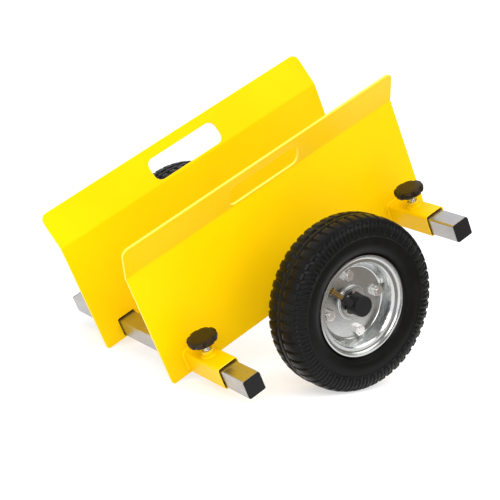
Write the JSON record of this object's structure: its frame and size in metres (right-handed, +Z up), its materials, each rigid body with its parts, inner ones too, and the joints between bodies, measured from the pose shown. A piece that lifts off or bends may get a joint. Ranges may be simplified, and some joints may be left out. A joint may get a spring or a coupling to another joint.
{
  "type": "drywall cart",
  "caption": "Low two-wheel cart that carries drywall panels on edge between sliding bent side plates, clamped by star knobs on square cross beams.",
  "frame": {"origin": "middle of the bounding box on the floor, with the cart standing on its tyres and its plates' low corners", "axes": "+X towards the end of the side plates that is raised, +Y away from the pictured near side, along the cross beams and the axles, +Z up"},
  "size_m": [0.4714, 0.42, 0.3765],
  "materials": {
    "yellow_paint": "glossy powder coat",
    "zinc_tube": "zinc plated, satin",
    "zinc_rim": "bright zinc plate",
    "zinc_fastener": "bright zinc plate",
    "bearing_steel": "polished",
    "knob_plastic": "satin moulded",
    "black_plastic": "satin moulded",
    "tyre": "matte moulded rubber",
    "tube_rubber": "matte",
    "brass": "turned"
  },
  "bodies": {
    "beams": {"lower_beam": "zinc_tube", "upper_beam": "zinc_tube", "lower_beam_cap_near": "black_plastic", "lower_beam_cap_far": "black_plastic", "upper_beam_cap_near": "black_plastic", "upper_beam_cap_far": "black_plastic"},
    "near_frame": {"near_side_plate": "yellow_paint", "near_lower_sleeve": "yellow_paint", "near_upper_sleeve": "yellow_paint", "near_clamp_nuts": "yellow_paint", "near_axle": "zinc_fastener", "near_axle_spacer": "yellow_paint", "near_bearing_spacer": "zinc_fastener", "near_bearing_inner_rings": "bearing_steel", "near_axle_washer": "zinc_fastener", "near_axle_nut": "zinc_fastener", "near_axle_cap": "black_plastic"},
    "near_wheel": {"near_bearing_outer_rings": "bearing_steel", "near_bearing_balls": "bearing_steel", "near_hub": "zinc_rim", "near_rim_outer": "zinc_rim", "near_rim_inner": "zinc_rim", "near_rim_bolts": "zinc_fastener", "near_rim_nuts": "zinc_fastener", "near_tyre": "tyre", "near_inner_tube": "tube_rubber", "near_valve_stem": "brass", "near_valve_cap": "black_plastic"},
    "near_lower_stud_body": {"near_lower_stud": "zinc_fastener"},
    "near_lower_knob_body": {"near_lower_knob": "knob_plastic"},
    "near_upper_stud_body": {"near_upper_stud": "zinc_fastener"},
    "near_upper_knob_body": {"near_upper_knob": "knob_plastic"},
    "far_frame": {"far_side_plate": "yellow_paint", "far_lower_sleeve": "yellow_paint", "far_upper_sleeve": "yellow_paint", "far_clamp_nuts": "yellow_paint", "far_axle": "zinc_fastener", "far_axle_spacer": "yellow_paint", "far_bearing_spacer": "zinc_fastener", "far_bearing_inner_rings": "bearing_steel", "far_axle_washer": "zinc_fastener", "far_axle_nut": "zinc_fastener", "far_axle_cap": "black_plastic"},
    "far_wheel": {"far_bearing_outer_rings": "bearing_steel", "far_bearing_balls": "bearing_steel", "far_hub": "zinc_rim", "far_rim_outer": "zinc_rim", "far_rim_inner": "zinc_rim", "far_rim_bolts": "zinc_fastener", "far_rim_nuts": "zinc_fastener", "far_tyre": "tyre", "far_inner_tube": "tube_rubber", "far_valve_stem": "brass", "far_valve_cap": "black_plastic"},
    "far_lower_stud_body": {"far_lower_stud": "zinc_fastener"},
    "far_lower_knob_body": {"far_lower_knob": "knob_plastic"},
    "far_upper_stud_body": {"far_upper_stud": "zinc_fastener"},
    "far_upper_knob_body": {"far_upper_knob": "knob_plastic"}
  },
  "joints": [
    {"name": "near_frame_slide", "type": "slide", "parent": "beams", "child": "near_frame", "axis": [0, -1, 0], "range_m": [-0.065, 0.046]},
    {"name": "near_wheel_spin", "type": "hinge", "parent": "near_frame", "child": "near_wheel", "pos_m": [0.04138, -0.181, 0.11], "axis": [0, 1, 0], "continuous": true},
    {"name": "near_lower_stud_lift", "type": "slide", "parent": "near_frame", "child": "near_lower_stud_body", "axis": [-0.4709, 0, 0.8822], "range_m": [0, 0.0051]},
    {"name": "near_lower_knob_turn", "type": "hinge", "parent": "near_lower_stud_body", "child": "near_lower_knob_body", "pos_m": [-0.12816, -0.1195, 0.05918], "axis": [-0.4709, 0, 0.8822], "range_deg": [0, 1440]},
    {"name": "near_upper_stud_lift", "type": "slide", "parent": "near_frame", "child": "near_upper_stud_body", "axis": [-0.4709, 0, 0.8822], "range_m": [0, 0.0051]},
    {"name": "near_upper_knob_turn", "type": "hinge", "parent": "near_upper_stud_body", "child": "near_upper_knob_body", "pos_m": [0.17796, -0.1195, 0.22257], "axis": [-0.4709, 0, 0.8822], "range_deg": [0, 1440]},
    {"name": "far_frame_slide", "type": "slide", "parent": "beams", "child": "far_frame", "axis": [0, 1, 0], "range_m": [-0.065, 0.046]},
    {"name": "far_wheel_spin", "type": "hinge", "parent": "far_frame", "child": "far_wheel", "pos_m": [0.04138, 0.181, 0.11], "axis": [0, 1, 0], "continuous": true},
    {"name": "far_lower_stud_lift", "type": "slide", "parent": "far_frame", "child": "far_lower_stud_body", "axis": [-0.4709, 0, 0.8822], "range_m": [0, 0.0051]},
    {"name": "far_lower_knob_turn", "type": "hinge", "parent": "far_lower_stud_body", "child": "far_lower_knob_body", "pos_m": [-0.12816, 0.1195, 0.05918], "axis": [-0.4709, 0, 0.8822], "range_deg": [0, 1440]},
    {"name": "far_upper_stud_lift", "type": "slide", "parent": "far_frame", "child": "far_upper_stud_body", "axis": [-0.4709, 0, 0.8822], "range_m": [0, 0.0051]},
    {"name": "far_upper_knob_turn", "type": "hinge", "parent": "far_upper_stud_body", "child": "far_upper_knob_body", "pos_m": [0.17796, 0.1195, 0.22257], "axis": [-0.4709, 0, 0.8822], "range_deg": [0, 1440]}
  ],
  "couplings": [
    {"joint": "near_lower_stud_lift", "follows": "near_lower_knob_turn", "m_per_rad": 0.00019894},
    {"joint": "near_upper_stud_lift", "follows": "near_upper_knob_turn", "m_per_rad": 0.00019894},
    {"joint": "far_lower_stud_lift", "follows": "far_lower_knob_turn", "m_per_rad": 0.00019894},
    {"joint": "far_upper_stud_lift", "follows": "far_upper_knob_turn", "m_per_rad": 0.00019894}
  ]
}
